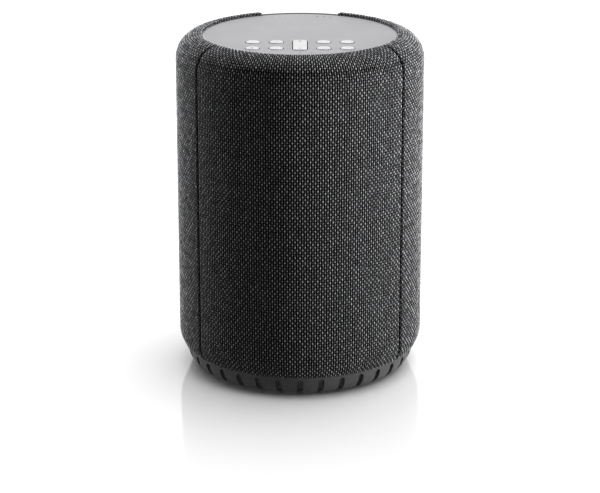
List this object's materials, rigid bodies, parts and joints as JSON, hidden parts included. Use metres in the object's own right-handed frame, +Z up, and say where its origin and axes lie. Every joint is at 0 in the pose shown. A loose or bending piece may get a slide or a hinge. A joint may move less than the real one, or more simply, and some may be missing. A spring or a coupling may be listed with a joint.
{
  "type": "smart speaker",
  "caption": "Upright cylindrical smart speaker in dark woven cloth, with a sunk round keypad top, a volume rocker, and a rubber foot ring with grip notches.",
  "frame": {"origin": "centre of the foot ring's underside", "axes": "+Z up, -Y towards the front (the keypad side), +X to the right seen from the front"},
  "size_m": [0.139, 0.1382, 0.193],
  "materials": {
    "cloth": "plain-weave melange cloth, matt",
    "shell_black": "moulded ABS, fine spark texture",
    "spine_grey": "moulded ABS, soft-touch",
    "foot_rubber": "moulded silicone rubber, satin",
    "plate_grey": "satin painted ABS",
    "key_white": "satin white ABS",
    "lens": "clear polycarbonate light pipe",
    "membrane": "translucent silicone",
    "board_green": "solder mask",
    "component": "epoxy and wound parts",
    "heat_sink": "extruded, anodised",
    "box_black": "moulded ABS",
    "seal_foam": "closed-cell foam",
    "wadding": "polyester wadding",
    "screw_steel": "zinc plated",
    "pin_steel": "ground",
    "contact_metal": "nickel plated",
    "driver_frame": "powder coated",
    "magnet": "ferrite",
    "soft_iron": "zinc plated soft iron",
    "cone_paper": "pulp cone, coated",
    "surround_rubber": "butyl rubber",
    "spider_cloth": "impregnated cotton",
    "coil_wire": "lacquered copper wire",
    "cable_black": "PVC insulation",
    "ribbon": "flat flexible cable",
    "antenna": "printed copper"
  },
  "bodies": {
    "housing": {"front_cloth": "cloth", "left_cloth": "cloth", "right_cloth": "cloth", "front_grille_shell": "shell_black", "left_grille_shell": "shell_black", "right_grille_shell": "shell_black", "bottom_cover": "shell_black", "rear_spine": "spine_grey", "foot_ring": "foot_rubber", "top_plate": "plate_grey", "indicator_lenses": "lens", "keypad_membrane": "membrane", "control_board": "board_green", "main_board": "board_green", "power_board": "board_green", "main_board_parts": "component", "power_board_parts": "component", "mains_inlet": "component", "audio_socket": "component", "heat_sink": "heat_sink", "speaker_tub": "box_black", "speaker_baffle": "box_black", "lower_chassis": "box_black", "top_deck": "box_black", "baffle_seal": "seal_foam", "acoustic_wadding": "wadding", "baffle_screws": "screw_steel", "bottom_cover_screws": "screw_steel", "driver_screws": "screw_steel", "radiator_screws": "screw_steel", "rocker_pin": "pin_steel", "inlet_pins": "contact_metal", "driver_frame": "driver_frame", "left_radiator_frame": "driver_frame", "right_radiator_frame": "driver_frame", "driver_magnet": "magnet", "driver_top_plate": "soft_iron", "driver_yoke": "soft_iron", "driver_surround": "surround_rubber", "left_radiator_surround": "surround_rubber", "right_radiator_surround": "surround_rubber", "driver_spider": "spider_cloth", "speaker_lead": "cable_black", "ribbon_cable": "ribbon", "wireless_antenna": "antenna"},
    "power_button": {"power_button": "key_white"},
    "source_button": {"source_button": "key_white"},
    "preset_button_1": {"preset_button_1": "key_white"},
    "preset_button_2": {"preset_button_2": "key_white"},
    "play_button": {"play_button": "key_white"},
    "pairing_button": {"pairing_button": "key_white"},
    "preset_button_3": {"preset_button_3": "key_white"},
    "preset_button_4": {"preset_button_4": "key_white"},
    "volume_rocker": {"volume_rocker": "key_white"},
    "reset_button": {"reset_button": "component"},
    "driver_cone_unit": {"driver_cone": "cone_paper", "driver_dust_cap": "cone_paper", "voice_coil": "coil_wire"},
    "left_radiator_unit": {"left_radiator_diaphragm": "cone_paper"},
    "right_radiator_unit": {"right_radiator_diaphragm": "cone_paper"}
  },
  "joints": [
    {"name": "power_button_press", "type": "slide", "parent": "housing", "child": "power_button", "axis": [0, 0, -1], "range_m": [0, 0.0006], "stiffness_N_per_m": 300, "deforming": ["keypad_membrane"]},
    {"name": "source_button_press", "type": "slide", "parent": "housing", "child": "source_button", "axis": [0, 0, -1], "range_m": [0, 0.0006], "stiffness_N_per_m": 300, "deforming": ["keypad_membrane"]},
    {"name": "preset_button_1_press", "type": "slide", "parent": "housing", "child": "preset_button_1", "axis": [0, 0, -1], "range_m": [0, 0.0006], "stiffness_N_per_m": 300, "deforming": ["keypad_membrane"]},
    {"name": "preset_button_2_press", "type": "slide", "parent": "housing", "child": "preset_button_2", "axis": [0, 0, -1], "range_m": [0, 0.0006], "stiffness_N_per_m": 300, "deforming": ["keypad_membrane"]},
    {"name": "play_button_press", "type": "slide", "parent": "housing", "child": "play_button", "axis": [0, 0, -1], "range_m": [0, 0.0006], "stiffness_N_per_m": 300, "deforming": ["keypad_membrane"]},
    {"name": "pairing_button_press", "type": "slide", "parent": "housing", "child": "pairing_button", "axis": [0, 0, -1], "range_m": [0, 0.0006], "stiffness_N_per_m": 300, "deforming": ["keypad_membrane"]},
    {"name": "preset_button_3_press", "type": "slide", "parent": "housing", "child": "preset_button_3", "axis": [0, 0, -1], "range_m": [0, 0.0006], "stiffness_N_per_m": 300, "deforming": ["keypad_membrane"]},
    {"name": "preset_button_4_press", "type": "slide", "parent": "housing", "child": "preset_button_4", "axis": [0, 0, -1], "range_m": [0, 0.0006], "stiffness_N_per_m": 300, "deforming": ["keypad_membrane"]},
    {"name": "volume_rocker_tilt", "type": "hinge", "parent": "housing", "child": "volume_rocker", "pos_m": [0, -0.0273, 0.186], "axis": [1, 0, 0], "range_deg": [-2.2, 2.2], "stiffness_Nm_per_rad": 0.034, "deforming": ["keypad_membrane"]},
    {"name": "reset_button_press", "type": "slide", "parent": "housing", "child": "reset_button", "axis": [0, -1, 0], "range_m": [0, 0.0006], "stiffness_N_per_m": 400},
    {"name": "driver_cone_travel", "type": "slide", "parent": "housing", "child": "driver_cone_unit", "axis": [0, -1, 0], "range_m": [-0.003, 0.003], "stiffness_N_per_m": 1500, "deforming": ["driver_surround", "driver_spider"]},
    {"name": "left_radiator_travel", "type": "slide", "parent": "housing", "child": "left_radiator_unit", "axis": [-1, 0, 0], "range_m": [-0.003, 0.003], "stiffness_N_per_m": 900, "deforming": ["left_radiator_surround"]},
    {"name": "right_radiator_travel", "type": "slide", "parent": "housing", "child": "right_radiator_unit", "axis": [1, 0, 0], "range_m": [-0.003, 0.003], "stiffness_N_per_m": 900, "deforming": ["right_radiator_surround"]}
  ]
}
